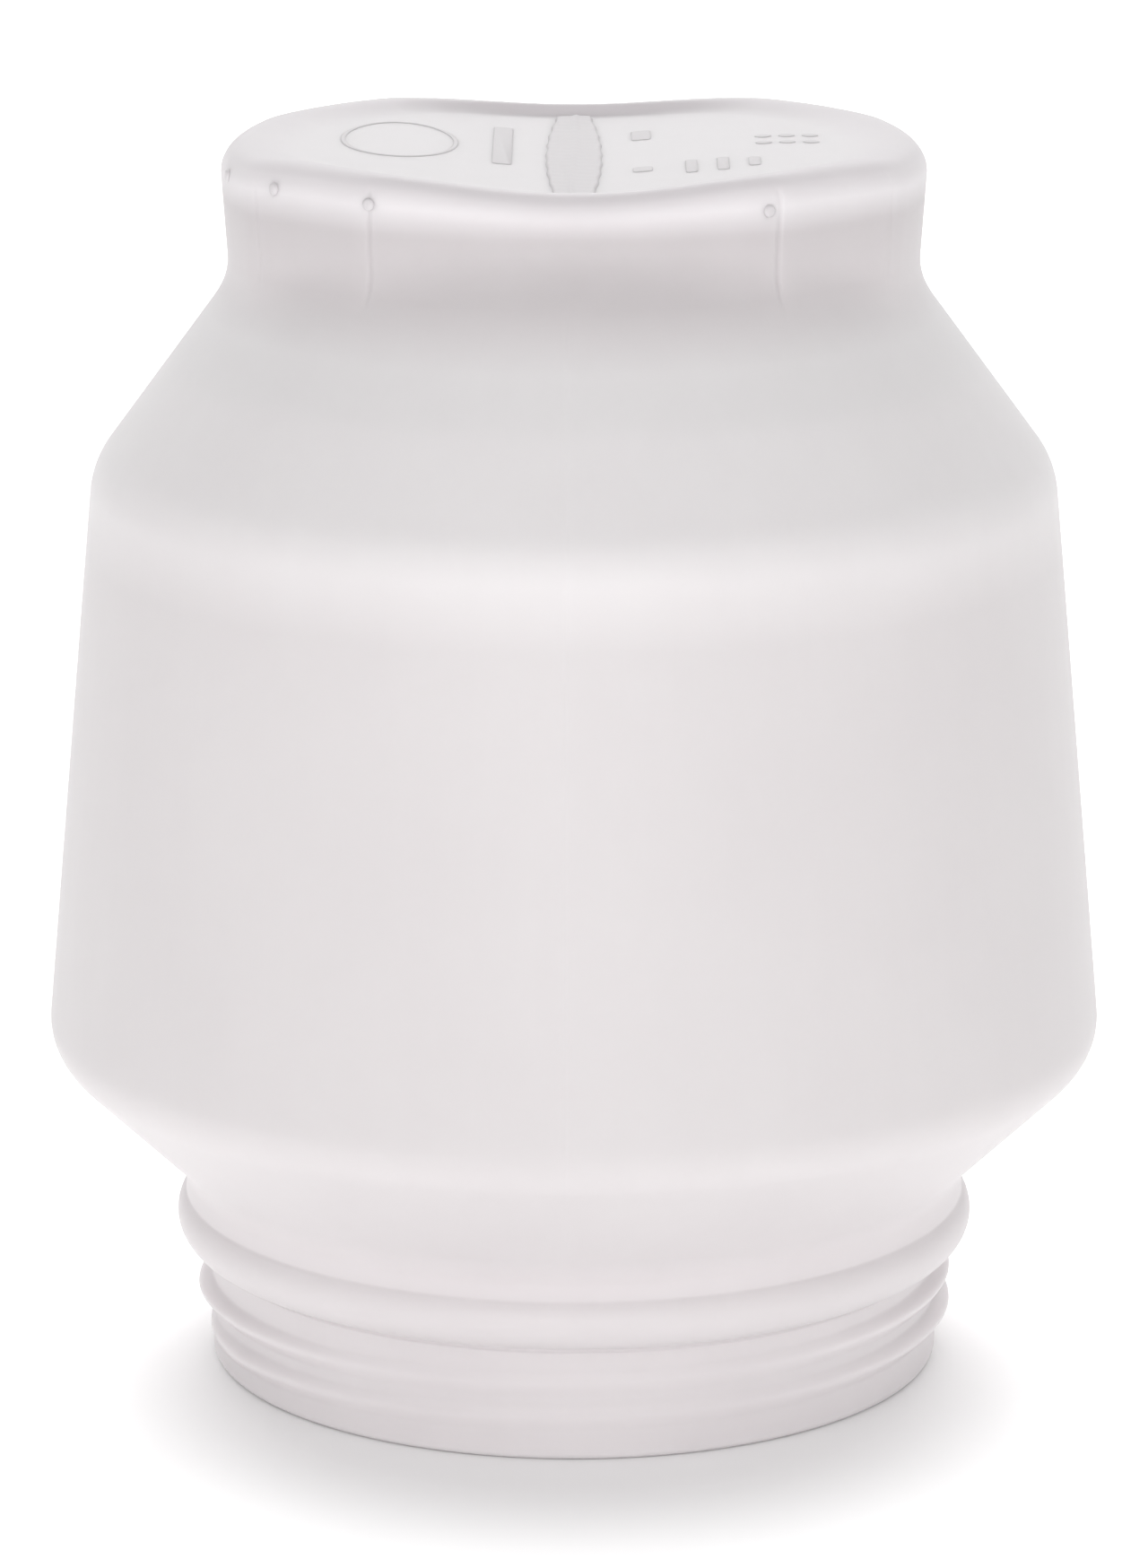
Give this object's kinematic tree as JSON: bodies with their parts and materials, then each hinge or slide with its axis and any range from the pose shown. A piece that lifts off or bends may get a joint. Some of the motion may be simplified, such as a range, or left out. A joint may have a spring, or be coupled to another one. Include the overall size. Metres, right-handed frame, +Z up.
{
  "type": "wide-mouth screw jar",
  "caption": "Translucent blow-moulded wide-mouth jar with a screw neck, a bead, a tapered barrel, sloping shoulders and a flat-sided grip knob, standing on its mouth.",
  "frame": {"origin": "centre of the mouth rim, on the surface that the jar stands on", "axes": "+Z up along the jar's axis to the closed end with the grip knob; -Y is the front, the side that the finger panel faces; the weld across the closed end runs along Y"},
  "size_m": [0.19, 0.19, 0.224],
  "materials": {
    "jar_plastic": "satin, milky translucent polyethylene",
    "moulded_marks": "satin, the same polyethylene where it is thicker"
  },
  "bodies": {
    "root": {"neck": "jar_plastic", "neck_cone": "jar_plastic", "barrel": "jar_plastic", "upper_cone": "jar_plastic", "grip_knob": "jar_plastic", "neck_thread": "jar_plastic", "pinch_off_weld": "moulded_marks", "base_marks": "moulded_marks", "vent_marks": "moulded_marks"}
  },
  "joints": []
}
